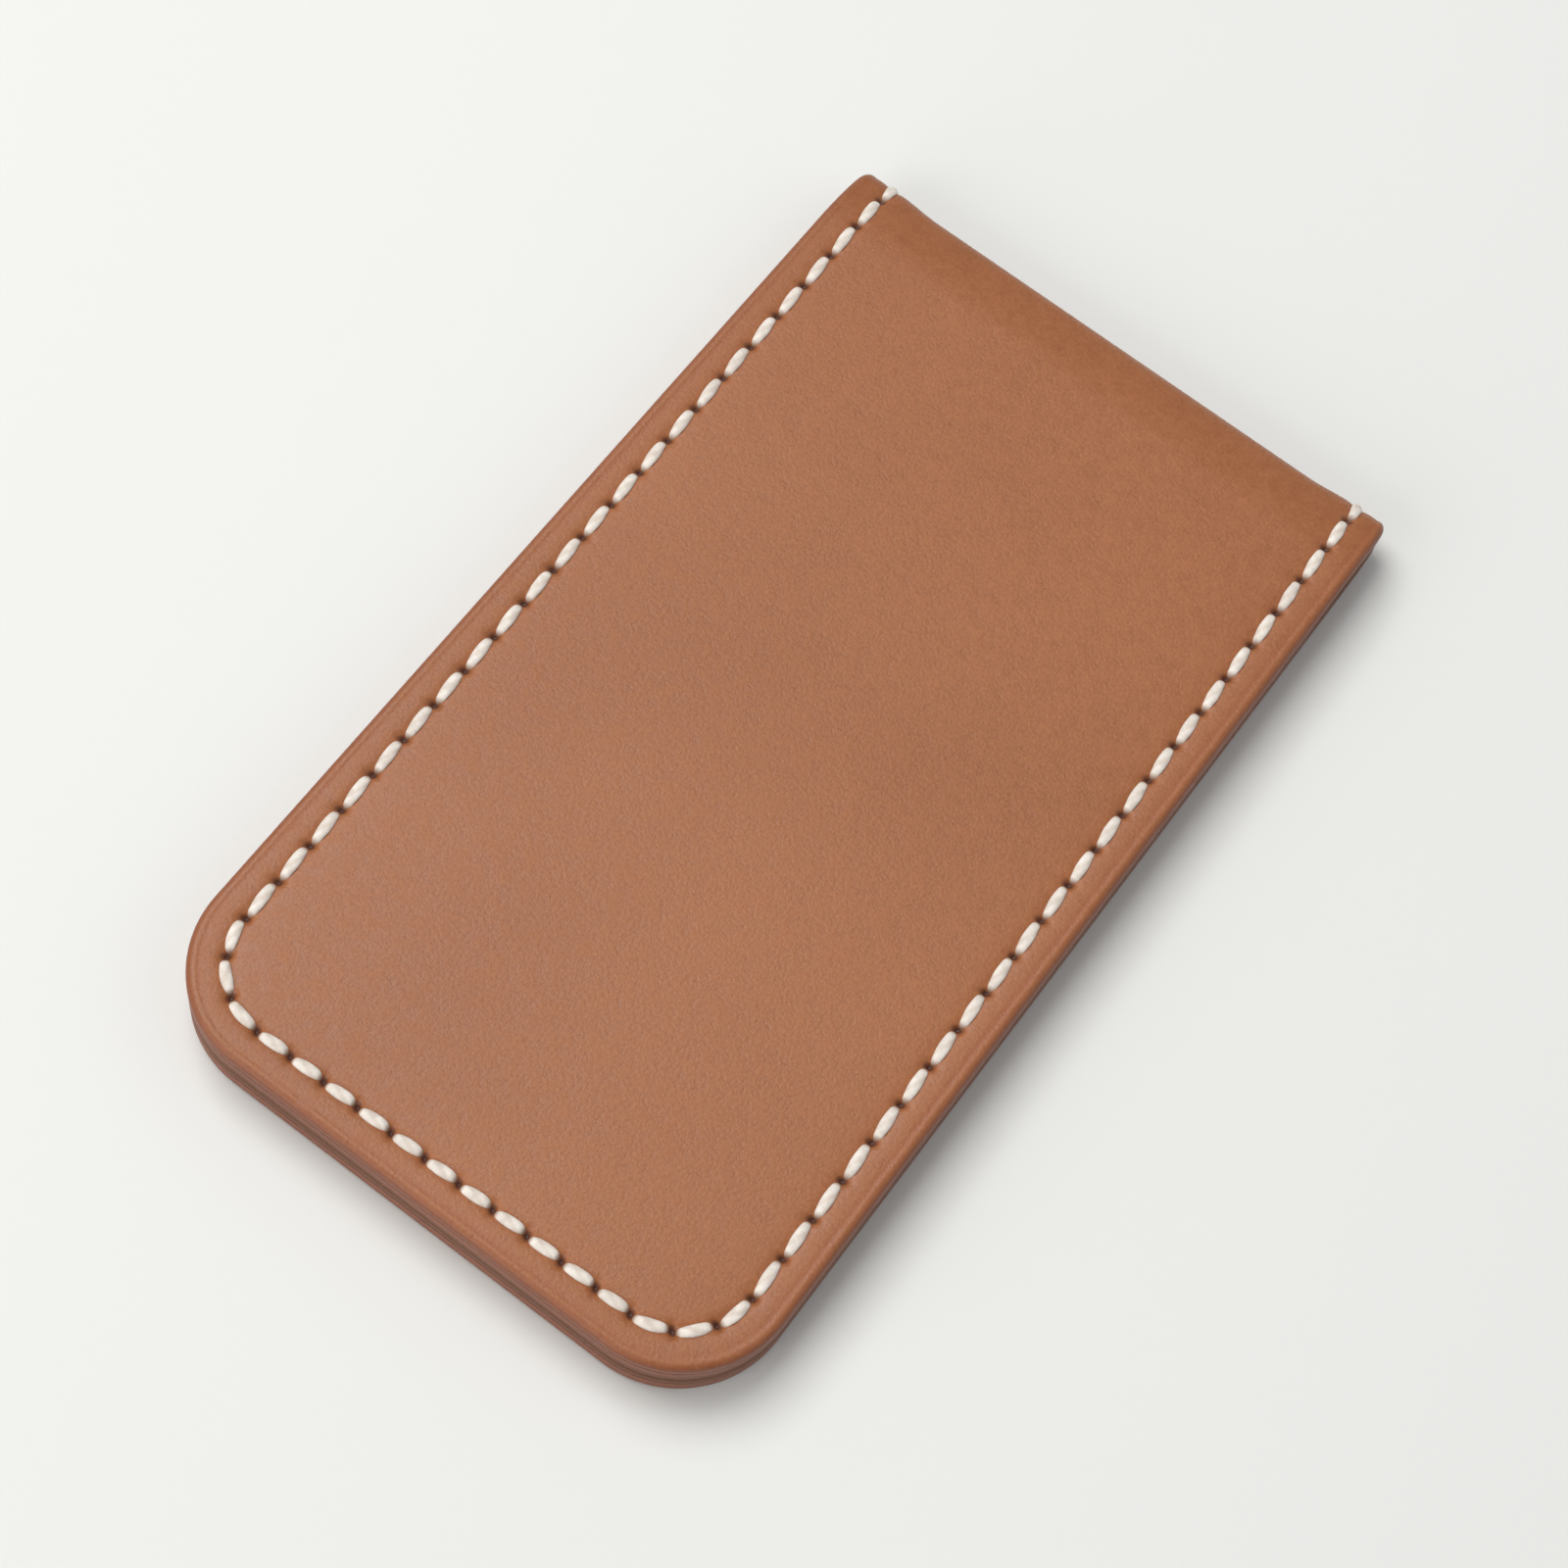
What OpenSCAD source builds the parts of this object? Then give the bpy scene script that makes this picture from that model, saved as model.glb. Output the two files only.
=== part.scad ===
// Magnetic leather money clip, lying closed on its back flap.
// X runs across the strip, +Y points to the fold, +Z is up, and the origin is under the middle of the clip.
// The strip is one cover leather and one lining leather. The front flap turns on one line at the fold.
// Both leathers are cut there into four slats, two on each flap, which follow it as the clip opens flat.

/* [Clip] */
// Length of the closed clip, free end to fold
clip_l = 76; // [60:1:90]
// Width across the strip
clip_w = 43; // [34:1:60]
// Radius of the two corners at the free end
corner_r = 7.5; // [4:0.5:10]
// Slot left between the two linings when the clip is closed
note_gap = 0.4; // [0.2:0.1:1]

/* [Layers] */
// Thickness of the cover leather
cover_t = 0.8; // [0.7:0.05:1]
// Thickness of the bonded-leather filler that holds the magnets
filler_t = 0.8; // [0.6:0.05:1]
// Thickness of the lining leather
lining_t = 0.6; // [0.5:0.05:0.8]

/* [Fold] */
// Outer radius of the tight bend at the tip of the fold
nose_r = 1.75; // [1.6:0.05:2]
// Angle by which each flap slopes down before the tight bend
shoulder_tilt = 18; // [14:1:24]
// Tilt of the leather at the first and last bend line
outer_bend_tilt = 15.25; // [10:0.25:18]
// Tilt of the leather at the two bend lines of the tip
inner_bend_tilt = 64; // [55:1:70]
// Depth of the first and last bend line under the outer face
outer_bend_depth = 0.6; // [0.3:0.05:0.7]
// Depth of the two bend lines of the tip under the outer face
inner_bend_depth = 0.6; // [0.5:0.05:0.75]
// Length over which the filler thins out towards the fold
skive_l = 5; // [3:0.5:8]

/* [Magnets] */
// Diameter of each disc magnet
magnet_d = 12; // [8:0.5:14]
// Distance of each magnet from the middle of the strip
magnet_x = 9; // [7.5:0.5:10]
// Distance of the magnets from the free end
magnet_end = 13; // [11:0.5:18]
// Play around each magnet in the filler
magnet_play = 0.1; // [0.05:0.05:0.3]

/* [Stitching] */
// Distance of the seam from the edge
seam_margin = 2.4; // [2:0.1:3]
// Length of one stitch
stitch_l = 2.2; // [1.8:0.1:2.4]
// Width of one stitch
stitch_w = 0.65; // [0.5:0.05:0.8]
// Depth of the pressed channel that a stitch lies in
stitch_t = 0.3; // [0.2:0.05:0.35]
// Angle between a stitch and its seam
stitch_slant = 6; // [0:1:8]
// Width of the channel
channel_w = 1; // [0.9:0.05:1.2]
// Stitches along the flat part of each side
side_stitches = 21; // [18:1:22]
// Stitches around each corner
corner_stitches = 3; // [3:1:3]
// Stitches along the free end between the corners
end_stitches = 11; // [8:1:11]

/* [Hidden] */
flap_t = cover_t + filler_t + lining_t;
fold_t = cover_t + lining_t;
closed_t = 2 * flap_t + note_gap;
mid_z = closed_t / 2;
free_y = -clip_l / 2;
fold_y = clip_l / 2;

// The fold's section: a long shoulder arc, then the nose arc, mirrored about mid_z
shoulder_r = (mid_z - nose_r * cos(shoulder_tilt)) / (1 - cos(shoulder_tilt));
nose_y = fold_y - nose_r;
shoulder_y = nose_y - (shoulder_r - nose_r) * sin(shoulder_tilt);
arc_step = 4;

// Bend lines, as [tilt, depth], from the back flap to the front flap
bends = [
    [outer_bend_tilt, outer_bend_depth], [inner_bend_tilt, inner_bend_depth],
    [180 - inner_bend_tilt, inner_bend_depth], [180 - outer_bend_tilt, outer_bend_depth]
];
bend_turn = 45;
bend_play = 1;
cut_w = 0.04;

// Tilts between which the four slats lie, two on the back flap and two on the front flap
slat_tilts = [outer_bend_tilt, inner_bend_tilt, 90, 180 - inner_bend_tilt, 180 - outer_bend_tilt];

seam_x = clip_w / 2 - seam_margin;
seam_r = corner_r - seam_margin;
corner_x = clip_w / 2 - corner_r;
corner_y = free_y + corner_r;
side_pitch = (shoulder_y - corner_y) / side_stitches;
end_pitch = 2 * corner_x / end_stitches;
stitch_end = 2;
wedge_l = 2;
big = 200;

// The lining's flat seam ends where the skived slope begins
lining_seam_end = shoulder_y - skive_l;
bobbin_rows = floor((lining_seam_end - corner_y) / side_pitch);

cover_color = "peru";
lining_color = "burlywood";
filler_color = "tan";
magnet_color = "silver";
thread_color = "ivory";

// ---- The fold's section, as points in the YZ plane ----

// Point on the lower half of the fold, where the outer face has turned by tilt, at a depth under it
function lower_point(tilt, depth) = tilt <= shoulder_tilt
    ? [shoulder_y + (shoulder_r - depth) * sin(tilt), shoulder_r - (shoulder_r - depth) * cos(tilt)]
    : [nose_y + (nose_r - depth) * sin(tilt), mid_z - (nose_r - depth) * cos(tilt)];

function mirrored(p) = [p[0], closed_t - p[1]];

function fold_point(tilt, depth) =
    tilt <= 90 ? lower_point(tilt, depth) : mirrored(lower_point(180 - tilt, depth));

// Points along the fold at one depth, from one tilt to another
function fold_line(from, to, depth) =
    let (steps = max(1, ceil(abs(to - from) / arc_step)))
    [for (i = [0 : steps]) fold_point(from + (to - from) * i / steps, depth)];

// A band of leather between two tilts and two depths
module band(from, to, outer, inner) {
    polygon(concat(fold_line(from, to, outer), fold_line(to, from, inner)));
}

// Room on the outer side of each bend line, which closes up as the clip opens, and the parting at the tip
module bend_room() {
    translate([nose_y, mid_z - cut_w / 2]) square([2 * nose_r, cut_w]);
    for (b = bends)
        translate(fold_point(b[0], b[1])) rotate(b[0]) {
            half = wedge_l * tan(bend_turn / 2 + bend_play);
            polygon([[0, 0], [-half, -wedge_l], [half, -wedge_l]]);
            translate([-cut_w / 2, -wedge_l]) square([cut_w, 2 * wedge_l]);
        }
}

// Extrudes a YZ section along X, centred on x
module along_x(width, x = 0) {
    translate([x - width / 2, 0, 0]) rotate([90, 0, 90]) linear_extrude(height = width) children();
}

// Puts its children on both seams of the strip
module on_both_seams() {
    for (side = [-1, 1]) along_x(channel_w, side * seam_x) children();
}

// ---- Plan of a flap ----

// Outline of a flap, or of a line inside it, rounded at the free end and open towards the fold
module plan(inset) {
    r = corner_r - inset;
    for (side = [-1, 1]) translate([side * corner_x, corner_y]) circle(r = r, $fn = 64);
    translate([-corner_x, free_y + inset]) square([2 * corner_x, r]);
    translate([-clip_w / 2 + inset, corner_y]) square([clip_w - 2 * inset, big]);
}

module plan_solid(inset = 0) {
    translate([0, 0, -big / 2]) linear_extrude(height = big) plan(inset);
}

// The channel around the flat part of a flap, between two heights
module flat_channel(low, high) {
    intersection() {
        translate([0, 0, low]) linear_extrude(height = high - low) difference() {
            plan(seam_margin - channel_w / 2);
            plan(seam_margin + channel_w / 2);
        }
        translate([-clip_w / 2, free_y, low]) cube([clip_w, shoulder_y - free_y, high - low]);
    }
}

// One stitch, flat, centred on the origin and running along Y
module stitch(height) {
    linear_extrude(height = height) rotate(stitch_slant) {
        straight = stitch_l - stitch_w;
        translate([-stitch_w / 2, -straight / 2]) square([stitch_w, straight]);
        for (end = [-1, 1]) translate([0, end * straight / 2]) circle(d = stitch_w, $fn = 24);
    }
}

// All the stitches of the flat part of a flap
module flat_stitches(low) {
    translate([0, 0, low]) {
        for (side = [-1, 1], i = [0 : side_stitches - 1])
            translate([side * seam_x, corner_y + (i + 0.5) * side_pitch]) stitch(stitch_t);
        for (side = [-1, 1], i = [0 : corner_stitches - 1]) {
            turn = 90 * (i + 0.5) / corner_stitches;
            translate([side * corner_x, corner_y]) rotate(-side * turn)
                translate([side * seam_r, 0]) stitch(stitch_t);
        }
        for (i = [0 : end_stitches - 1])
            translate([-corner_x + (i + 0.5) * end_pitch, free_y + seam_margin])
                rotate(90) stitch(stitch_t);
    }
}

// ---- Layers of the back flap; the front flap is their mirror image ----

module flap_cover() {
    color(cover_color) difference() {
        intersection() {
            along_x(clip_w) difference() {
                union() {
                    translate([free_y, 0]) square([shoulder_y - free_y, cover_t]);
                    band(0, outer_bend_tilt, 0, cover_t);
                }
                bend_room();
            }
            plan_solid();
        }
        flat_channel(-stitch_t, stitch_t);
        on_both_seams() band(0, outer_bend_tilt, -stitch_t, stitch_t);
    }
}

// The filler thins out to nothing where the fold begins
module flap_filler() {
    color(filler_color) difference() {
        intersection() {
            along_x(clip_w) polygon([
                [free_y, cover_t], [shoulder_y, cover_t],
                [shoulder_y - skive_l, cover_t + filler_t], [free_y, cover_t + filler_t]
            ]);
            plan_solid();
        }
        for (side = [-1, 1])
            translate([side * magnet_x, free_y + magnet_end, 0])
                cylinder(d = magnet_d + 2 * magnet_play, h = flap_t, $fn = 64);
    }
}

module flap_lining_section() {
    polygon(concat(
        [[free_y, flap_t], [free_y, cover_t + filler_t], [shoulder_y - skive_l, cover_t + filler_t]],
        fold_line(0, outer_bend_tilt, cover_t),
        fold_line(outer_bend_tilt, 0, fold_t),
        [[shoulder_y - skive_l, flap_t]]
    ));
}

module flap_lining() {
    color(lining_color) difference() {
        intersection() {
            along_x(clip_w) difference() {
                flap_lining_section();
                bend_room();
            }
            plan_solid();
        }
        intersection() {
            flat_channel(flap_t - stitch_t, flap_t + stitch_t);
            translate([-clip_w / 2, free_y, 0]) cube([clip_w, lining_seam_end - free_y, 2 * flap_t]);
        }
        on_both_seams() lining_channel_section();
    }
}

// Channel along the skived slope and the shoulder of the lining
module lining_channel_section() {
    polygon(concat(
        [[lining_seam_end, flap_t - stitch_t]],
        fold_line(0, outer_bend_tilt, fold_t - stitch_t),
        fold_line(outer_bend_tilt, 0, fold_t + stitch_t),
        [[lining_seam_end, flap_t + stitch_t]]
    ));
}

module flap_magnet(side) {
    color(magnet_color)
        translate([side * magnet_x, free_y + magnet_end, cover_t])
            cylinder(d = magnet_d, h = filler_t, $fn = 64);
}

module flap_needle_thread() {
    color(thread_color) {
        flat_stitches(0);
        for (side = [-1, 1]) along_x(stitch_w, side * seam_x)
            band(stitch_end / 2, outer_bend_tilt - stitch_end, 0, stitch_t);
    }
}

// The flat stitches here lie wholly before the skived slope
module flap_bobbin_thread() {
    color(thread_color) {
        intersection() {
            flat_stitches(flap_t - stitch_t);
            translate([-clip_w / 2, free_y, 0])
                cube([clip_w, corner_y + bobbin_rows * side_pitch - free_y, 2 * flap_t]);
        }
        for (side = [-1, 1]) along_x(stitch_w, side * seam_x)
            band(stitch_end / 2, outer_bend_tilt - stitch_end, fold_t - stitch_t, fold_t);
    }
}

module front() {
    translate([0, 0, closed_t]) mirror([0, 0, 1]) children();
}

// ---- Slats of the fold, numbered from the back flap to the front flap ----

// The part of one slat between two depths, with the bend lines' room cut away
module slat_section(slat, outer, inner) {
    difference() {
        band(slat_tilts[slat], slat_tilts[slat + 1], outer, inner);
        bend_room();
    }
}

module slat_cover(slat) {
    color(cover_color) difference() {
        along_x(clip_w) slat_section(slat, 0, cover_t);
        on_both_seams() band(slat_tilts[slat], slat_tilts[slat + 1], -stitch_t, stitch_t);
    }
}

module slat_lining(slat) {
    color(lining_color) difference() {
        along_x(clip_w) slat_section(slat, cover_t, fold_t);
        on_both_seams() band(slat_tilts[slat], slat_tilts[slat + 1], fold_t - stitch_t, fold_t + stitch_t);
    }
}

module slat_needle_thread(slat) {
    color(thread_color) for (side = [-1, 1])
        along_x(stitch_w, side * seam_x) slat_section(slat, 0, stitch_t);
}

module slat_bobbin_thread(slat) {
    color(thread_color) for (side = [-1, 1])
        along_x(stitch_w, side * seam_x) slat_section(slat, fold_t - stitch_t, fold_t);
}

// ---- The clip ----

flap_cover();  // back_cover
flap_filler();  // back_filler
flap_lining();  // back_lining
flap_magnet(-1);  // back_magnet_left
flap_magnet(1);  // back_magnet_right
flap_needle_thread();  // back_needle_thread
flap_bobbin_thread();  // back_bobbin_thread

front() flap_cover();  // front_cover
front() flap_filler();  // front_filler
front() flap_lining();  // front_lining
front() flap_magnet(-1);  // front_magnet_left
front() flap_magnet(1);  // front_magnet_right
front() flap_needle_thread();  // front_needle_thread
front() flap_bobbin_thread();  // front_bobbin_thread

slat_cover(0);  // fold_cover_lower
slat_lining(0);  // fold_lining_lower
slat_needle_thread(0);  // fold_needle_thread_lower
slat_bobbin_thread(0);  // fold_bobbin_thread_lower

slat_cover(1);  // fold_cover_tip_lower
slat_lining(1);  // fold_lining_tip_lower
slat_needle_thread(1);  // fold_needle_thread_tip_lower
slat_bobbin_thread(1);  // fold_bobbin_thread_tip_lower

slat_cover(2);  // fold_cover_tip_upper
slat_lining(2);  // fold_lining_tip_upper
slat_needle_thread(2);  // fold_needle_thread_tip_upper
slat_bobbin_thread(2);  // fold_bobbin_thread_tip_upper

slat_cover(3);  // fold_cover_upper
slat_lining(3);  // fold_lining_upper
slat_needle_thread(3);  // fold_needle_thread_upper
slat_bobbin_thread(3);  // fold_bobbin_thread_upper
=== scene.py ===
"""Looks of the magnetic money clip: its skins, seams, materials, light and camera.

The clip is one strip of leather folded over. Every skin is made for the back flap, in millimetres, as a
sheet that follows the strip: u runs round the edge from the tip of the fold to the tip again, d goes inwards
from the edge, and depth goes into the leather. The front flap is the same sheet, mirrored about the middle of
the closed clip.
"""

import math
from collections import namedtuple

import bpy
import numpy as np
from mathutils import Matrix, Vector
from mathutils.geometry import delaunay_2d_cdt


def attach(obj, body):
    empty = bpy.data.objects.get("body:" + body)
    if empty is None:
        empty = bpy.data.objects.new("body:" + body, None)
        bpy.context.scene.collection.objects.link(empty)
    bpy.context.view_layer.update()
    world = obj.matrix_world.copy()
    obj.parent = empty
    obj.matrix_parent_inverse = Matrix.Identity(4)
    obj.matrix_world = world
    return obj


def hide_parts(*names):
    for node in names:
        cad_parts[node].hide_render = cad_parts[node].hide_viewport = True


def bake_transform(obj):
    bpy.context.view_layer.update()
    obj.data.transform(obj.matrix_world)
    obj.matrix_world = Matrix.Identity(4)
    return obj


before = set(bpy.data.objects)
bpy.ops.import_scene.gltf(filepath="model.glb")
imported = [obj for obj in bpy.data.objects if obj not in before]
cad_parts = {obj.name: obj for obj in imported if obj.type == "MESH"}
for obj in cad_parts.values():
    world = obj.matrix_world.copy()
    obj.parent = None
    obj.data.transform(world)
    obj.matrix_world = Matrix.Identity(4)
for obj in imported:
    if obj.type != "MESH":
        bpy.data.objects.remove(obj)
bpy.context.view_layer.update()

# ---- Sizes in millimetres, the same as the CAD model's ----

MM = 0.001
CLIP_L, CLIP_W, CORNER_R = 76.0, 43.0, 7.5
COVER_T, FILLER_T, LINING_T, NOTE_GAP = 0.8, 0.8, 0.6, 0.4
FLAP_T = COVER_T + FILLER_T + LINING_T
FOLD_T = COVER_T + LINING_T
CLOSED_T = 2 * FLAP_T + NOTE_GAP
MID_Z = CLOSED_T / 2

# The fold is a tight nose at the tip, and a shoulder that slopes from it to the flat flap
NOSE_R, SHOULDER_TILT, SKIVE_L = 1.75, math.radians(18), 5.0
SHOULDER_R = (MID_Z - NOSE_R * math.cos(SHOULDER_TILT)) / (1 - math.cos(SHOULDER_TILT))
NOSE_Y = CLIP_L / 2 - NOSE_R
SHOULDER_Y = NOSE_Y - (SHOULDER_R - NOSE_R) * math.sin(SHOULDER_TILT)
NOSE_L = NOSE_R * (math.pi / 2 - SHOULDER_TILT)
CURVED_L = NOSE_L + SHOULDER_R * SHOULDER_TILT

SEAM = 2.4
SIDE_STITCHES, CORNER_STITCHES, END_STITCHES = 23, 3, 11
CORNER_X = CLIP_W / 2 - CORNER_R
SIDE_L = CURVED_L + SHOULDER_Y + CLIP_L / 2 - CORNER_R
CORNER_L = (CORNER_R - SEAM) * math.pi / 2
END_L = 2 * CORNER_X
SEAM_L = 2 * (SIDE_L + CORNER_L) + END_L
SIDE_PITCH = SIDE_L / SIDE_STITCHES

# The skin is parted at the tip and at two distances from it, each in the middle of a stitch. A small gap at
# the tip keeps the two flaps' skins from touching.
TIP_CUT = SIDE_PITCH / 2
FLAP_CUT = SIDE_PITCH * 5 / 2
TIP_GAP = 0.004
# The zones of the skin, each from one distance to another
ZONES = {"flap": (FLAP_CUT, math.inf), "fold": (TIP_CUT, FLAP_CUT), "tip": (0.0, TIP_CUT)}


# For each flap: the bodies of its flap, of its fold's slat and of its tip
BODIES = {
    "back": {"flap": "back_flap", "slat": "fold_lower", "tip": "fold_tip_lower"},
    "front": {"flap": "front_flap", "slat": "fold_upper", "tip": "fold_tip_upper"},
}
SLAT_NODES = {
    "back": {"fold": "lower", "tip": "tip_lower"},
    "front": {"fold": "upper", "tip": "tip_upper"},
}

# ---- Sizes in millimetres that only the skins have ----

# The hollow along the outside of the fold: its depth, how far inside the seam it starts, and the width over
# which it deepens
HOLLOW_DEPTH, HOLLOW_START, HOLLOW_RAMP = 0.3, 0.3, 3.5
# The fold's rounded corners: how far they draw in, and how far that reaches along the edge and inwards
CORNER_DRAW, CORNER_REACH, CORNER_FADE = 0.3, 1.5, 2.0
# Pressed line near the edge, and the valley and the wide dip along the seam: depth and half width
CREASE_D, CREASE_DEPTH, CREASE_W = 0.8, 0.03, 0.13
VALLEY_DEPTH, VALLEY_W = 0.15, 0.42
DIP_DEPTH, DIP_W = 0.05, 1.5
# The slit that the needle leaves: its depth and its half widths along and across the seam
PIT_DEPTH, PIT_ALONG, PIT_ACROSS = 0.34, 0.27, 0.38
# Radius of each layer's edge, width of its darker burnish, and half width of the rub along the pressed line
COVER_EDGE_R, LINING_EDGE_R = 0.5, 0.22
BURNISH_W, RUBBED_W = 0.5, 0.2
# The edge wall of a layer, in rows: shares of the way down it, and how far each row is set in
WALL_SHARES = np.array([0.6, 0.9, 1.0])
WALL_INSETS = np.array([0.0, 0.03, 0.09])
# Spacing of the coarse points in the middle of a flap, and their distance from its two ends
MIDDLE_STEP, FREE_END_ROOM, CUT_ROOM = 1.5, 1.2, 0.8
# How far inside the edge the hidden side of a cut starts
CUT_INSET = 0.5

# Thread: what a stitch leaves free at each end, its half width and half height, and how deep its centre lies
STITCH_GAP, STITCH_W, STITCH_H = 0.2, 0.36, 0.21
STITCH_DEPTH, STITCH_DIVE = 0.08, 0.34
STITCH_LEAN = math.radians(4.5)
# The two plies swell the thread by this share, and turn this many radians per millimetre
PLY_SWELL, PLY_TURN = 0.09, 3.4

# Sample positions: along the edge from a needle hole, inwards from the edge, and across the middle of the
# strip. Those near a hole stop this far from the middle of the stitch.
NEAR_HOLE = (0.0, 0.09, 0.18, 0.28, 0.4, 0.58, 0.85, 1.15)
SAMPLE_ROOM = 0.1
INSETS = np.array(
    [0, 0.012, 0.05, 0.11, 0.19, 0.29, 0.4, 0.5, 0.58, 0.66, 0.76, 0.92, 1.12, 1.35, 1.6, 1.8, 1.95, 2.07]
    + [2.17, 2.26, 2.34, 2.42, 2.5, 2.58, 2.67, 2.77, 2.9, 3.08, 3.35, 3.75, 4.3, 5.0, 5.9, 6.9]
)
COLUMNS = np.linspace(-CLIP_W / 2 + INSETS[-1], CLIP_W / 2 - INSETS[-1], 21)[1:-1]


# ---- The strip ----


def section(s, depth):
    """Y and Z of a point of the back flap at distance s from the tip and a depth under the outer face."""
    s = np.maximum(s, TIP_GAP)
    nose = s < NOSE_L
    tilt = np.where(nose, math.pi / 2 - s / NOSE_R, (CURVED_L - s) / SHOULDER_R)
    radius = np.where(nose, NOSE_R, SHOULDER_R) - depth
    y = np.where(nose, NOSE_Y, SHOULDER_Y) + radius * np.sin(tilt)
    z = np.where(nose, MID_Z, SHOULDER_R) - radius * np.cos(tilt)
    flat = s >= CURVED_L
    return np.where(flat, SHOULDER_Y + CURVED_L - s, y), np.where(flat, depth, z)


def hollow(s, d, depth):
    """How far the outside of the fold sinks along Y between its seams, which hold it out at both sides."""
    near_tip = np.clip(1 - (s / CURVED_L) ** 2, 0, 1) ** 2
    inboard = np.clip((d - SEAM - HOLLOW_START) / HOLLOW_RAMP, 0, 1)
    squeezed = np.clip(1 - depth / FOLD_T, 0, 1)
    return HOLLOW_DEPTH * near_tip * squeezed * inboard**2 * (3 - 2 * inboard)


def corner_inset(s, d):
    """How far the edge draws in where the fold's corners are rounded."""
    return CORNER_DRAW * np.exp(-((s / CORNER_REACH) ** 2)) * np.clip(1 - d / CORNER_FADE, 0, 1)


def strip_distance(u):
    """Distance from the tip of a point at u along the edge."""
    return np.minimum(u, SEAM_L - u)


def edge_point(u, d, depth):
    """A point near the edge, at u along the seam, d inside the edge, and a depth under the outer face."""
    u, d, depth = np.broadcast_arrays(u, d, depth)
    v = strip_distance(u)
    d = d + corner_inset(v, d)
    side_y, side_z = section(np.minimum(v, SIDE_L), depth)
    turn = np.clip((v - SIDE_L) / (CORNER_R - SEAM), 0, math.pi / 2)
    along = np.maximum(v - SIDE_L - CORNER_L, 0)
    r = CORNER_R - d
    on_side = v <= SIDE_L
    x = np.where(on_side, -CLIP_W / 2 + d, -CORNER_X - r * np.cos(turn) + along)
    y = np.where(on_side, side_y - hollow(v, d, depth), CORNER_R - CLIP_L / 2 - r * np.sin(turn))
    z = np.where(on_side, side_z, depth)
    return np.stack([np.where(u > SEAM_L / 2, -x, x), y, z], -1)


def inner_point(x, s, depth):
    """A point away from the edges, at x across the strip and s from the tip."""
    x, s, depth = np.broadcast_arrays(x, s, depth)
    y, z = section(s, depth)
    return np.stack([x, y - hollow(s, CLIP_W / 2 - np.abs(x), depth), z], -1)


def cover_face(s):
    """Depth of the cover's outer face."""
    return np.zeros_like(s)


def lining_face(s):
    """Depth of the lining's inner face, which slopes where the filler is skived."""
    return FOLD_T + FILLER_T * np.clip((s - CURVED_L) / SKIVE_L, 0, 1)


def zone_of(s):
    """The zone of the skin at distance s from the tip."""
    return next(zone for zone, (low, high) in ZONES.items() if low <= s < high)


# ---- Relief of the leather ----


def seam_holes():
    """Positions of the needle holes along u."""
    side, corner, end = (SIDE_L, SIDE_STITCHES), (CORNER_L, CORNER_STITCHES), (END_L, END_STITCHES)
    holes = [0.0]
    for length, count in (side, corner, end, corner, side):
        start = holes[-1]
        holes += [start + length * (i + 1) / count for i in range(count)]
    return np.array(holes)


HOLES = seam_holes()
SPANS = list(zip(HOLES[:-1], HOLES[1:]))


def edge_samples():
    """Sample positions along u, close together near each hole, with one in the middle of each stitch."""
    found = []
    for start, end in SPANS:
        half = (end - start) / 2
        near = [offset for offset in NEAR_HOLE if offset < half - SAMPLE_ROOM]
        found += [start + offset for offset in near]
        found += [start + half]
        found += [end - offset for offset in near[:0:-1]]
    return np.array([*found, HOLES[-1]])


def smooth_pulse(distance, width):
    """A bell curve: 1 at no distance, and next to nothing at twice the width."""
    return np.exp(-((distance / width) ** 2))


def relief(u, d, lean, edge_r):
    """How far the surface lies under the plain face, and how deep in a needle hole it is, from 0 to 1."""
    nearest = HOLES[np.abs(u[:, None] - HOLES[None, :]).argmin(1)]
    along = (u - nearest)[:, None]
    across = (d - SEAM)[None, :]
    turned_along = along * math.cos(lean) + across * math.sin(lean)
    turned_across = across * math.cos(lean) - along * math.sin(lean)
    pit = smooth_pulse(turned_along, PIT_ALONG) * smooth_pulse(turned_across, PIT_ACROSS)
    outside = np.clip(edge_r - d, 0, edge_r)
    under = edge_r - np.sqrt(edge_r**2 - outside**2)
    under = under + CREASE_DEPTH * smooth_pulse(d - CREASE_D, CREASE_W)
    under = under + VALLEY_DEPTH * smooth_pulse(d - SEAM, VALLEY_W)
    under = under + DIP_DEPTH * smooth_pulse(d - SEAM, DIP_W)
    return under[None, :] + PIT_DEPTH * pit, pit


# ---- Meshes ----

# One layer of leather. face_depth(s) is the depth of its shown face, inward is 1 if the leather lies deeper
# than that face and -1 if not, lean is the slant of the needle's slits, and edge_r rounds its edge.
Layer = namedtuple("Layer", "part slot face_depth thickness inward lean edge_r material")


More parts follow.
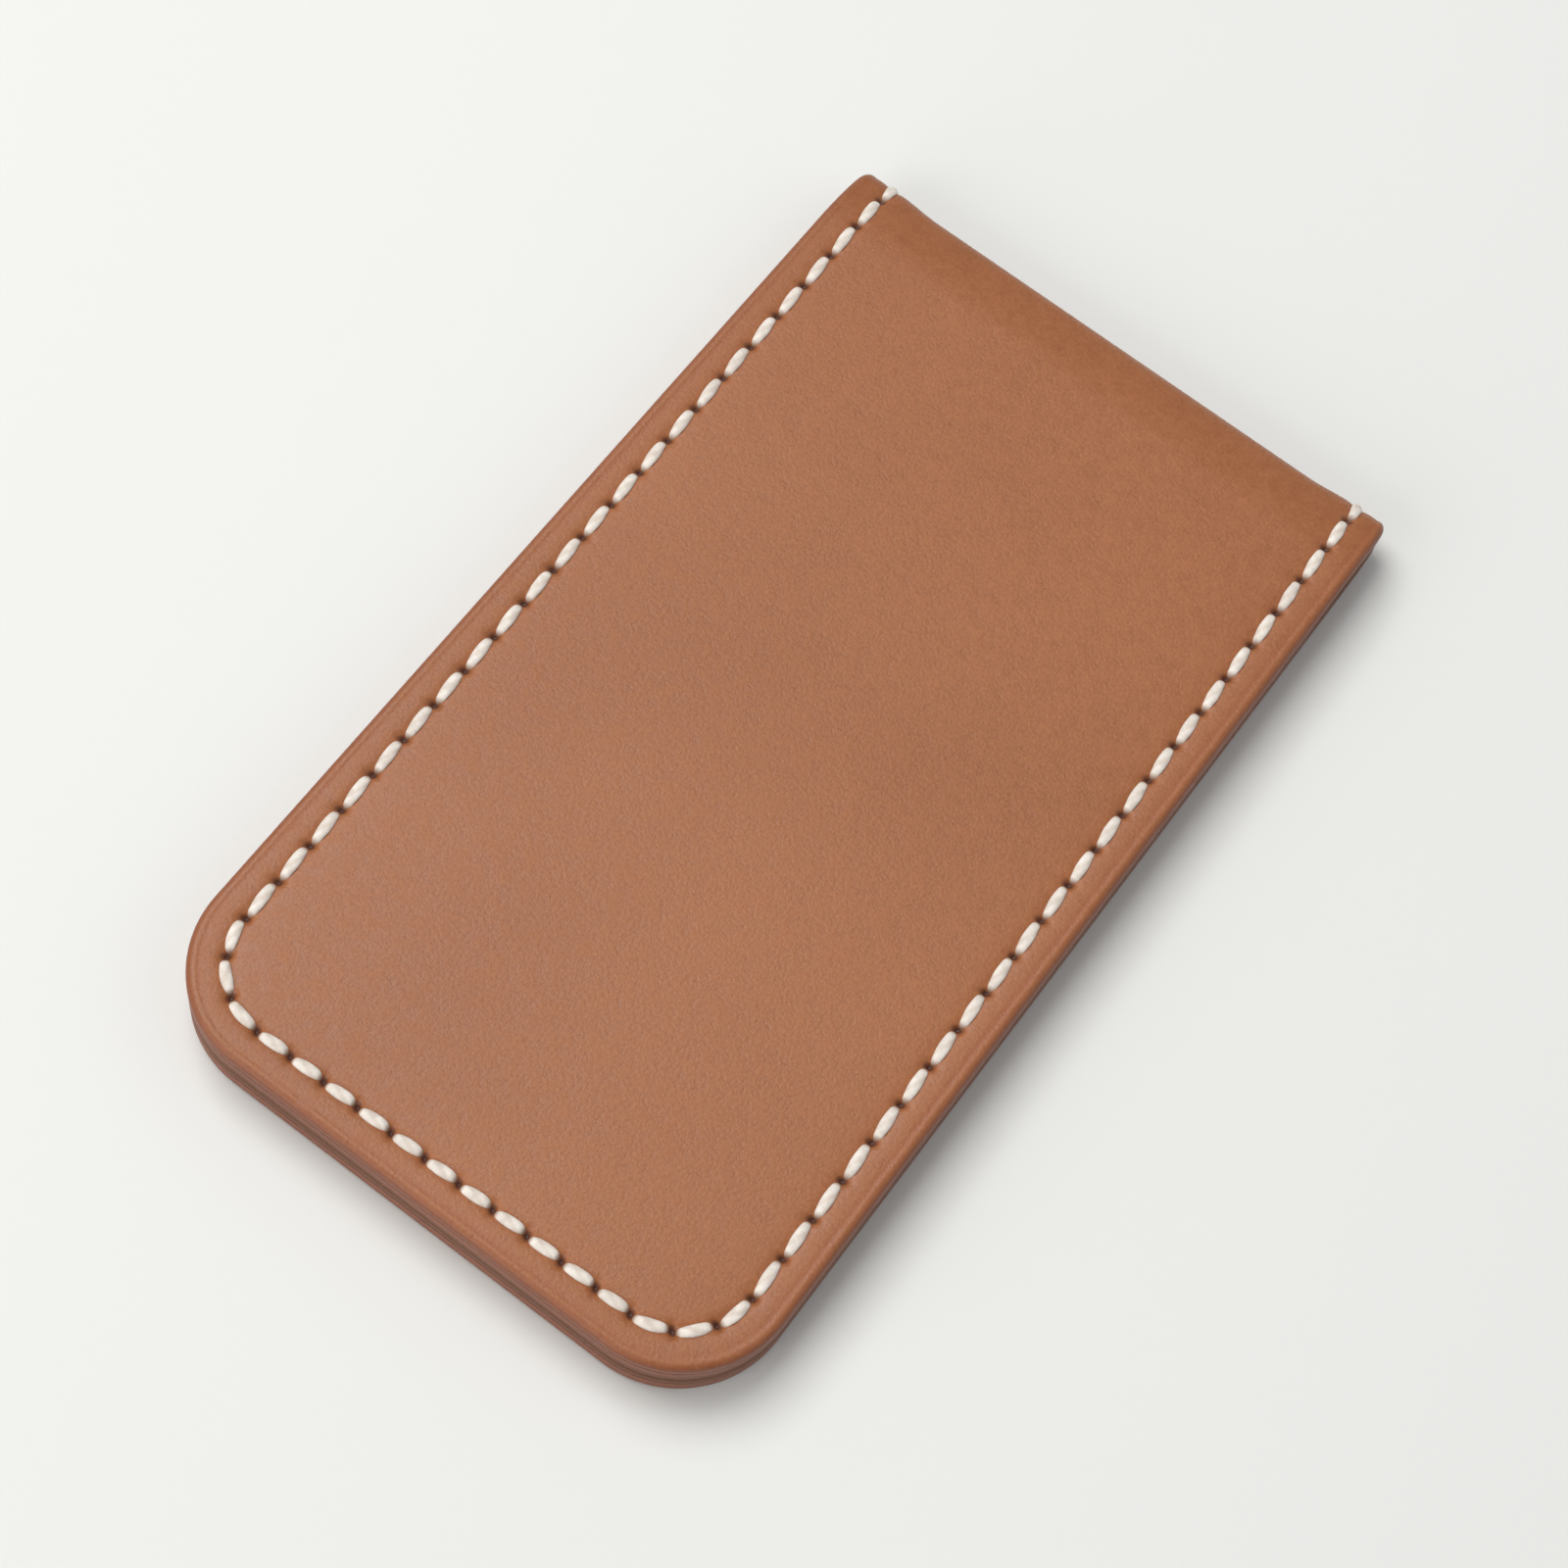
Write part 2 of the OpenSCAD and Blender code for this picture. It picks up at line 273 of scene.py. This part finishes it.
class Surface:
    """Points and faces of one sheet or thread. Each face has a zone: flap, fold or tip."""

    def __init__(self):
        self.points = np.empty((0, 3))
        self.marks = np.empty((0, 3))
        self.faces = []
        self.zones = []

    def add(self, points, marks):
        """Adds points, with three marks each for the material, and returns their numbers in the same layout."""
        first = len(self.points)
        self.points = np.concatenate([self.points, points.reshape(-1, 3)])
        self.marks = np.concatenate([self.marks, np.broadcast_to(marks, points.shape).reshape(-1, 3)])
        return np.arange(first, len(self.points)).reshape(points.shape[:-1])

    def add_face(self, face, zone):
        """Adds one face of point numbers."""
        self.faces.append(face)
        self.zones.append(zone)

    def add_grid(self, numbers, zones):
        """Joins a grid of points into quads; zones has one zone per row of quads."""
        for zone, row, after in zip(zones, numbers[:-1], numbers[1:]):
            for k in range(len(row) - 1):
                self.add_face((row[k], row[k + 1], after[k + 1], after[k]), zone)

    def turn_over(self):
        """Makes every face look the other way."""
        self.faces = [face[::-1] for face in self.faces]

    def faces_in(self, zone):
        """The faces of one zone."""
        return [face for face, found in zip(self.faces, self.zones) if found == zone]

    def normals(self):
        """Area-weighted normals of the points, level at the tip, where the mirrored half goes on."""
        normals = np.zeros_like(self.points)
        for size in (3, 4):
            faces = np.array([face for face in self.faces if len(face) == size], int).reshape(-1, size)
            corner = self.points[faces]
            normal = np.cross(corner[:, 1] - corner[:, 0], corner[:, 2] - corner[:, 0])
            if size == 4:
                normal += np.cross(corner[:, 2] - corner[:, 0], corner[:, 3] - corner[:, 0])
            for k in range(size):
                np.add.at(normals, faces[:, k], normal)
        normals[np.abs(self.points[:, 2] - MID_Z) < TIP_GAP * 1.01, 2] = 0
        return normals / np.maximum(np.linalg.norm(normals, axis=1), 1e-12)[:, None]


def make_sheet(layer):
    """One layer of leather: its shown face with relief, its edge walls, and what closes it at each cut.

    Returns the surface, the sample positions along u, the numbers of the bottom of its walls, and the cuts.
    """
    u = edge_samples()
    face = layer.face_depth(strip_distance(u))
    zones = [zone_of(strip_distance(middle)) for middle in (u[:-1] + u[1:]) / 2]
    surface = Surface()
    ring = add_edge_band(surface, layer, u, face, zones)
    wall = add_wall(surface, layer, u, face, zones, ring)
    middle = add_middle(surface, layer, u, face, zones, ring)
    cuts = {}
    for cut in (0.0, TIP_CUT, FLAP_CUT):
        row = int(np.abs(u - cut).argmin())
        opposite = len(u) - 1 - row
        top = np.concatenate([ring[row], middle[row], ring[opposite, ::-1]])
        depth = face[row] + layer.inward * layer.thickness
        cuts[row] = add_cut(surface, top, wall[row], wall[opposite], cut, depth)
    return surface, u, wall[:, 2], cuts


def add_edge_band(surface, layer, u, face, zones):
    """The shown face from the edge to past the seam, with its relief. Returns its grid of numbers."""
    under, pit = relief(u, INSETS, layer.lean, layer.edge_r)
    burnish = np.broadcast_to(np.clip(1 - INSETS / BURNISH_W, 0, 1), pit.shape)
    crease = np.broadcast_to(smooth_pulse(INSETS - CREASE_D, RUBBED_W), pit.shape)
    points = edge_point(u[:, None], INSETS[None, :], face[:, None] + layer.inward * under)
    ring = surface.add(points, np.stack([burnish, pit, crease], -1))
    surface.add_grid(ring, zones)
    return ring


def add_wall(surface, layer, u, face, zones, ring):
    """The wall at the edge, set in a little where two layers meet. Returns its grid of numbers."""
    wall_depth = WALL_SHARES * (layer.thickness - layer.edge_r) + layer.edge_r
    depth = face[:, None] + layer.inward * wall_depth[None, :]
    wall = surface.add(edge_point(u[:, None], WALL_INSETS[None, :], depth), np.array([1.0, 0.0, 0.0]))
    surface.add_grid(np.concatenate([wall[:, ::-1], ring[:, :1]], axis=1), zones)
    return wall


def add_middle(surface, layer, u, face, zones, ring):
    """The shown face between the seams: rows of columns over the fold, then triangles over the flap."""
    rows = np.flatnonzero(u <= FLAP_CUT + 1e-6)
    opposite = len(u) - 1 - rows
    points = inner_point(COLUMNS[None, :], u[rows][:, None], face[rows][:, None])
    middle = surface.add(points, np.zeros(3))
    across = np.concatenate([ring[rows, -1:], middle, ring[opposite, -1:]], axis=1)
    surface.add_grid(across, zones[: len(rows) - 1])
    around = ring[rows[-1] : opposite[-1] + 1, -1]
    fill_flap(surface, np.concatenate([around, middle[-1][::-1]]), layer.face_depth)
    return middle


def fill_flap(surface, loop, face_depth):
    """Fills the middle of the flap with triangles between the loop's points and a coarse grid."""
    lowest = INSETS[-1] - CLIP_L / 2
    highest = SHOULDER_Y + CURVED_L - FLAP_CUT
    rows = np.arange(lowest + FREE_END_ROOM, highest - CUT_ROOM, MIDDLE_STEP)
    grid_x, grid_y = np.meshgrid(COLUMNS, rows)
    inside = np.stack([grid_x.ravel(), grid_y.ravel()], -1)
    coords = [Vector(point) for point in np.concatenate([surface.points[loop][:, :2], inside])]
    edges = [(i, (i + 1) % len(loop)) for i in range(len(loop))]
    outline_only, tolerance = 1, 1e-5
    found = delaunay_2d_cdt(coords, edges, [tuple(range(len(loop)))], outline_only, tolerance)
    made, _, faces, origin, _, _ = found
    s = SHOULDER_Y + CURVED_L - inside[:, 1]
    numbers = np.concatenate([loop, surface.add(inner_point(inside[:, 0], s, face_depth(s)), np.zeros(3))])
    for face in faces:
        a, b, c = (made[i] for i in face)
        corners = tuple(numbers[origin[i][0]] for i in face)
        clockwise = (b - a).cross(c - a) < 0
        surface.add_face(corners if clockwise else corners[::-1], "flap")


def add_cut(surface, top, left_wall, right_wall, cut, depth):
    """The faces that close the sheet across a cut, and the row of points at its far side.

    top is the row of the shown face, and left_wall and right_wall are the two walls' points on that row.
    """
    x_of = surface.points[top, 0]
    first = int(np.argmax(x_of > -CLIP_W / 2 + CUT_INSET))
    last = len(top) - 1 - first
    under = surface.add(inner_point(x_of[first : last + 1], cut, depth), np.zeros(3))
    faces = [
        (*left_wall[::-1], *top[: first + 1], under[0]),
        (under[-1], *top[last:], *right_wall),
    ]
    for k in range(len(under) - 1):
        faces.append((under[k], top[first + k], top[first + k + 1], under[k + 1]))
    return {"faces": faces, "under": [left_wall[2], *under, right_wall[2]]}


def closing_faces(bottom, rows, cuts, turned):
    """The hidden back of a piece, as strips across it between the bottoms of its walls, and its cut ends."""

    def back_row(row):
        return cuts[row]["under"] if row in cuts else [bottom[row], bottom[len(bottom) - 1 - row]]

    faces = []
    for row, after in zip(rows[:-1], rows[1:]):
        faces.append(tuple(dict.fromkeys([*back_row(row)[::-1], *back_row(after)])))
    faces += [face[::-1] for face in cuts[rows[0]]["faces"]]
    if rows[-1] in cuts:
        faces += cuts[rows[-1]]["faces"]
    return [face[::-1] for face in faces] if turned else faces


def loop_caps(faces):
    """Faces that close whatever is open: each follows one loop of open edges."""
    directed = {(a, b) for face in faces for a, b in zip(face, face[1:] + face[:1])}
    following = {b: a for a, b in directed if (b, a) not in directed}
    caps = []
    while following:
        loop = [min(following)]
        at = following.pop(loop[0])
        while at != loop[0]:
            loop.append(at)
            at = following.pop(at)
        caps.append(tuple(loop))
    return caps


def build_piece(name, points, normals, marks, smooth, plain, material):
    """A mesh object from smooth faces, which use the sheet's normals, and plain flat ones that close it."""
    used = sorted({i for face in smooth + plain for i in face})
    renumber = {old: new for new, old in enumerate(used)}
    mesh = bpy.data.meshes.new(name)
    mesh.from_pydata(points[used] * MM, [], [[renumber[i] for i in face] for face in smooth + plain])
    mesh.polygons.foreach_set("use_smooth", [True] * len(smooth) + [False] * len(plain))
    corner_normals = [normals[i] for face in smooth for i in face]
    for polygon in list(mesh.polygons)[len(smooth) :]:
        corner_normals += [tuple(polygon.normal)] * polygon.loop_total
    mesh.normals_split_custom_set(corner_normals)
    for key, values in (("rest", points[used] * MM), ("marks", marks[used])):
        attribute = mesh.attributes.new(key, "FLOAT_VECTOR", "POINT")
        attribute.data.foreach_set("vector", values.astype(np.float32).ravel())
    mesh.materials.append(material)
    piece = bpy.data.objects.new(name, mesh)
    bpy.context.scene.collection.objects.link(piece)
    return piece


def place(piece, flap, zone, part):
    """Makes a flap's piece move with the flap's body, the others stay where they are; hides the CAD node each
    stands for.
    """
    if zone == "flap":
        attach(piece, BODIES[flap]["flap"])
        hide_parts(f"{flap}_{part}")
        return
    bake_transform(piece)
    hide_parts(f"fold_{part}_{SLAT_NODES[flap][zone]}")


def make_both(surface, part, material, closing):
    """Makes the pieces of a surface for the back flap, and their mirror images for the front flap.

    closing(zone, smooth) gives the plain faces that close the smooth ones of a zone.
    """
    points, normals = surface.points, surface.normals()
    up = np.array([0, 0, CLOSED_T])
    flip = np.array([1, 1, -1])
    for zone in ZONES:
        smooth = surface.faces_in(zone)
        plain = closing(zone, smooth)
        turned = [[face[::-1] for face in faces] for faces in (smooth, plain)]
        shapes = {
            "back": (points, normals, surface.marks, smooth, plain),
            "front": (points * flip + up, normals * flip, surface.marks, *turned),
        }
        for flap, shape in shapes.items():
            piece = build_piece(f"{flap}_{part}_{zone}_skin", *shape, material)
            place(piece, flap, zone, part)


def make_layer(layer):
    """The cover or the lining, as three pieces on each flap."""
    surface, u, bottom, cuts = make_sheet(layer)
    if layer.inward < 0:
        surface.turn_over()
    half = u[: len(u) // 2 + 1]

    def closing(zone, _):
        low, high = ZONES[zone]
        rows = np.flatnonzero((half >= low - 1e-6) & (half <= high + 1e-6))
        return closing_faces(bottom, rows, cuts, layer.inward < 0)

    make_both(surface, layer.part, layer.material, closing)


# ---- Stitches ----

AROUND = 14
ALONG = np.sin(np.linspace(-math.pi / 2, math.pi / 2, 19))


def stitch_tube(start, end, face_depth, inward):
    """Rings of one stitch: a plump two-ply thread that leans a little and dives into its holes.

    Its marks are how high a point is on its ply, and how near a hole.
    """
    middle = (start + end) / 2
    angle = np.linspace(0, 2 * math.pi, AROUND, endpoint=False)[None, :]
    t = ALONG[:, None]
    along = t * ((end - start) / 2 - STITCH_GAP)
    taper = np.sqrt(np.maximum(1 - np.abs(t) ** 5, 0.03))
    ridge = np.cos(2 * angle - along * PLY_TURN)
    size = taper * (1 + PLY_SWELL * ridge)
    sideways = np.cos(angle) * STITCH_W * size
    u = middle + along - sideways * math.sin(STITCH_LEAN)
    d = SEAM + along * math.sin(STITCH_LEAN) + sideways
    depth = STITCH_DEPTH + STITCH_DIVE * np.abs(t) ** 4.5 - np.sin(angle) * STITCH_H * size
    face = face_depth(strip_distance(middle + along))
    points = edge_point(np.maximum(u, 0), d, face + inward * depth)
    marks = np.stack(np.broadcast_arrays(0.5 + ridge / 2, np.abs(t), 0.0), -1)
    return points, marks


def make_thread(part, face_depth, inward, material):
    """All stitches of one side of the seam, as one piece for each zone of each flap."""
    surface = Surface()
    for start, end in SPANS:
        rings = surface.add(*stitch_tube(start, end, face_depth, inward))
        centres = (start + end) / 2 + (ALONG[:-1] + ALONG[1:]) * (end - start) / 4
        zones = [zone_of(strip_distance(centre)) for centre in centres]
        rings = np.concatenate([rings, rings[:, :1]], axis=1)
        for zone, ring, after in zip(zones, rings[:-1], rings[1:]):
            for k in range(AROUND):
                surface.add_face((ring[k], after[k], after[k + 1], ring[k + 1]), zone)
    if inward < 0:
        surface.turn_over()
    make_both(surface, part, material, lambda zone, smooth: loop_caps(smooth))


# ---- Materials ----


class Shader:
    """Short calls for building one material's nodes."""

    def __init__(self, name):
        self.material = bpy.data.materials.new(name)
        self.material.use_nodes = True
        self.tree = self.material.node_tree
        self.surface = self.tree.nodes["Principled BSDF"]

    def node(self, kind, inputs=None, **settings):
        """A new node with its settings and inputs."""
        made = self.tree.nodes.new(kind)
        for key, value in settings.items():
            setattr(made, key, value)
        for key, value in (inputs or {}).items():
            self.feed(made.inputs[key], value)
        return made

    def feed(self, socket, value):
        """Links a socket to another node's output, or sets it to a constant."""
        if isinstance(value, bpy.types.NodeSocket):
            self.tree.links.new(value, socket)
        else:
            socket.default_value = value

    def set(self, **inputs):
        """Feeds the surface's inputs, named in small letters with underscores."""
        sockets = {socket.name.lower().replace(" ", "_"): socket for socket in self.surface.inputs}
        for key, value in inputs.items():
            self.feed(sockets[key], value)

    def rest_place(self):
        """The point at rest, so that a pattern doesn't slide when the piece bends."""
        return self.node("ShaderNodeAttribute", attribute_name="rest").outputs["Vector"]

    def object_place(self):
        """The point in the object's own frame, for a CAD shape."""
        return self.node("ShaderNodeTexCoord").outputs["Object"]

    def mark(self, axis):
        """One of the marks that the mesh carries."""
        marks = self.node("ShaderNodeAttribute", attribute_name="marks")
        return self.node("ShaderNodeSeparateXYZ", {"Vector": marks.outputs["Vector"]}).outputs[axis]

    def noise(self, at, scale, detail, roughness):
        """Cloudy noise from 0 to 1, with this many features per metre."""
        inputs = {"Vector": at, "Scale": scale, "Detail": detail, "Roughness": roughness}
        return self.node("ShaderNodeTexNoise", inputs).outputs["Fac"]

    def remap(self, value, low, high, to_low=0.0, to_high=1.0):
        """The value's place between low and high, as a value between to_low and to_high."""
        inputs = {"Value": value, "From Min": low, "From Max": high, "To Min": to_low, "To Max": to_high}
        return self.node("ShaderNodeMapRange", inputs).outputs["Result"]

    def mix(self, factor, a, b):
        """A colour between a and b."""
        inputs = {"Factor": factor, "A": a, "B": b}
        return self.node("ShaderNodeMix", inputs, data_type="RGBA").outputs["Result"]

    def math(self, operation, a, b):
        """A sum or a product."""
        made = self.node("ShaderNodeMath", operation=operation)
        self.feed(made.inputs[0], a)
        self.feed(made.inputs[1], b)
        return made.outputs["Value"]

    def bump(self, height, strength, distance, normal=None):
        """A bumped normal, on top of another one if it is given."""
        inputs = {"Height": height, "Strength": strength, "Distance": distance}
        if normal is not None:
            inputs["Normal"] = normal
        return self.node("ShaderNodeBump", inputs).outputs["Normal"]


def colour(r, g, b):
    """A linear colour from its 0 to 255 display values."""
    return (*[((v / 255 + 0.055) / 1.055) ** 2.4 for v in (r, g, b)], 1.0)


def leather(name, light, dark, grain_strength, roughness, edge=None):
    """Smooth vegetable-tanned leather: cloudy tone, fine grain and pores.

    With an edge colour it is for a skin: a burnished edge, a rubbed line, and painted shade in the needle
    holes.
    """
    s = Shader(name)
    at = s.rest_place() if edge else s.object_place()
    cloud = s.noise(at, 45, 3, 0.5)
    mottle = s.noise(at, 1100, 3, 0.6)
    grain = s.noise(at, 4200, 2, 0.6)
    cells = s.node("ShaderNodeTexVoronoi", {"Vector": at, "Scale": 2600}, feature="DISTANCE_TO_EDGE")
    tone = s.math("ADD", s.math("MULTIPLY", cloud, 0.3), s.math("MULTIPLY", mottle, 0.27))
    tone = s.math("ADD", tone, s.math("MULTIPLY", grain, 0.43))
    base = s.mix(s.remap(tone, 0.38, 0.62), dark, light)
    if edge:
        rubbed = s.math("MULTIPLY", s.mark("Z"), s.remap(cloud, 0.35, 0.65, 0.1, 0.45))
        base = s.mix(rubbed, base, colour(142, 68, 34))
        # Burnished edge colour; on the lining it is also painted shade for the slit between the flaps
        base = s.mix(s.math("MULTIPLY", s.mark("X"), 0.8), base, edge)
        # Painted shade: the needle holes are darkened to stand for the shade inside them
        base = s.mix(s.remap(s.mark("Y"), 0.2, 0.85), base, colour(74, 36, 22))
    fine = s.bump(grain, grain_strength, 0.00006)
    creases = s.bump(s.remap(cells.outputs["Distance"], 0.0, 0.12), grain_strength * 0.3, 0.00004, fine)
    s.set(
        base_color=base,
        roughness=s.remap(mottle, 0.3, 0.7, roughness - 0.05, roughness + 0.07),
        specular_ior_level=0.5,
        sheen_weight=0.06,
        sheen_roughness=0.5,
        normal=s.bump(mottle, grain_strength * 0.5, 0.0001, creases),
    )
    return s.material


def thread():
    """Waxed two-ply thread, with painted shade in the groove between its plies and where it dives into its
    holes.
    """
    s = Shader("waxed_thread")
    at = s.rest_place()
    fibres = s.noise(at, 9000, 3, 0.65)
    wax = s.noise(at, 1500, 2, 0.5)
    # Painted shade in the groove between the plies
    groove = s.remap(s.mark("X"), 0.45, 0.0)
    # Painted shade: the thread is darker at its ends, where it dives into the holes
    hole_shade = s.remap(s.mark("Y"), 0.74, 1.0)
    cream = s.mix(s.remap(wax, 0.35, 0.65), colour(214, 203, 192), colour(232, 223, 213))
    cream = s.mix(s.math("MULTIPLY", groove, 0.4), cream, colour(190, 170, 150))
    s.set(
        base_color=s.mix(hole_shade, cream, colour(140, 104, 80)),
        roughness=s.remap(fibres, 0.3, 0.7, 0.5, 0.66),
        subsurface_weight=0.08,
        subsurface_radius=(0.0004, 0.0003, 0.0002),
        normal=s.bump(fibres, 0.35, 0.00004),
    )
    return s.material


def nickel():
    """Nickel plate with faint wear, for the magnets inside."""
    s = Shader("nickel_plate")
    wear = s.noise(s.object_place(), 1200, 3, 0.6)
    s.set(
        base_color=s.mix(wear, colour(178, 176, 172), colour(214, 212, 208)),
        metallic=1.0,
        roughness=s.remap(wear, 0.3, 0.7, 0.18, 0.34),
        normal=s.bump(wear, 0.1, 0.00003),
    )
    return s.material


TAN = leather("tan_cover", colour(161, 98, 56), colour(143, 83, 43), 0.45, 0.46, colour(118, 58, 32))
# The lining's edge colour is dark partly for its burnish and partly as painted shade, so the slit between the
# flaps reads dark
NATURAL = leather("tan_lining", colour(186, 136, 100), colour(164, 114, 80), 0.7, 0.66, colour(88, 44, 26))
BOARD = leather("filler_edge", colour(146, 86, 54), colour(122, 66, 38), 0.8, 0.65)
THREAD = thread()
NICKEL = nickel()


# ---- The clip ----

NEEDLE_LEAN = math.radians(24)

make_layer(Layer("cover", "cover_leather", cover_face, COVER_T, 1, NEEDLE_LEAN, COVER_EDGE_R, TAN))
make_layer(Layer("lining", "lining_leather", lining_face, LINING_T, -1, -NEEDLE_LEAN, LINING_EDGE_R, NATURAL))
make_thread("needle_thread", cover_face, 1, THREAD)
make_thread("bobbin_thread", lining_face, -1, THREAD)

for flap_name in BODIES:
    for node, material in (("filler", BOARD), ("magnet_left", NICKEL), ("magnet_right", NICKEL)):
        cad_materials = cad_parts[f"{flap_name}_{node}"].data.materials
        cad_materials.clear()
        cad_materials.append(material)


# ---- Floor, light and camera, in metres ----


def make_floor(half, drop):
    """A plain pale floor just under the clip."""
    corners = [(-half, -half, -drop), (half, -half, -drop), (half, half, -drop), (-half, half, -drop)]
    mesh = bpy.data.meshes.new("floor")
    mesh.from_pydata(corners, [], [(0, 1, 2, 3)])
    s = Shader("pale_floor")
    s.set(base_color=colour(226, 226, 223), roughness=0.85)
    mesh.materials.append(s.material)
    floor = bpy.data.objects.new("floor", mesh)
    bpy.context.scene.collection.objects.link(floor)


def add_softbox(name, at, size, power, tint):
    """A square area light that points at the middle of the clip."""
    lamp = bpy.data.lights.new(name, "AREA")
    lamp.size = size
    lamp.energy = power
    lamp.color = tint
    softbox = bpy.data.objects.new(name, lamp)
    softbox.location = at
    softbox.rotation_euler = (-Vector(at)).to_track_quat("-Z", "Y").to_euler()
    bpy.context.scene.collection.objects.link(softbox)


def make_world(tint, strength):
    """An even, soft light from all round."""
    world = bpy.data.worlds.new("studio")
    world.use_nodes = True
    background = world.node_tree.nodes["Background"]
    background.inputs["Color"].default_value = tint
    background.inputs["Strength"].default_value = strength
    bpy.context.scene.world = world


def make_camera(azimuth, elevation, roll, distance, lens, target):
    """A rolled camera that looks at the target. Azimuth runs from -Y towards +X; angles are in degrees."""
    azimuth, elevation, roll = map(math.radians, (azimuth, elevation, roll))
    level = Vector((math.sin(azimuth), -math.cos(azimuth), 0)) * math.cos(elevation)
    back = level + Vector((0, 0, math.sin(elevation)))
    right = Vector((math.cos(azimuth), math.sin(azimuth), 0))
    up = back.cross(right)
    turned_right = right * math.cos(roll) + up * math.sin(roll)
    turned_up = up * math.cos(roll) - right * math.sin(roll)
    data = bpy.data.cameras.new("camera")
    data.sensor_width = 36
    data.lens = lens
    data.clip_start = 0.01
    camera = bpy.data.objects.new("camera", data)
    axes = Matrix((turned_right, turned_up, back)).transposed()
    camera.matrix_world = Matrix.Translation(Vector(target) + back * distance) @ axes.to_4x4()
    bpy.context.scene.collection.objects.link(camera)
    bpy.context.scene.camera = camera


make_floor(4.0, 0.00002)
add_softbox("key_light", (-0.30, 0.05, 0.62), 0.45, 3.75, (1.0, 0.995, 0.985))
add_softbox("front_light", (-0.2, -0.62, 0.3), 0.5, 2.15, (1.0, 0.98, 0.96))
add_softbox("side_light", (0.55, 0.25, 0.5), 0.7, 0.6, (0.96, 0.98, 1.0))
make_world((0.93, 0.96, 0.98, 1), 0.33)
make_camera(22.4, 66.4, 15.1, 0.2174, 78.1, (0.00041, -0.00107, 0))
bpy.context.scene.view_settings.view_transform = "Standard"
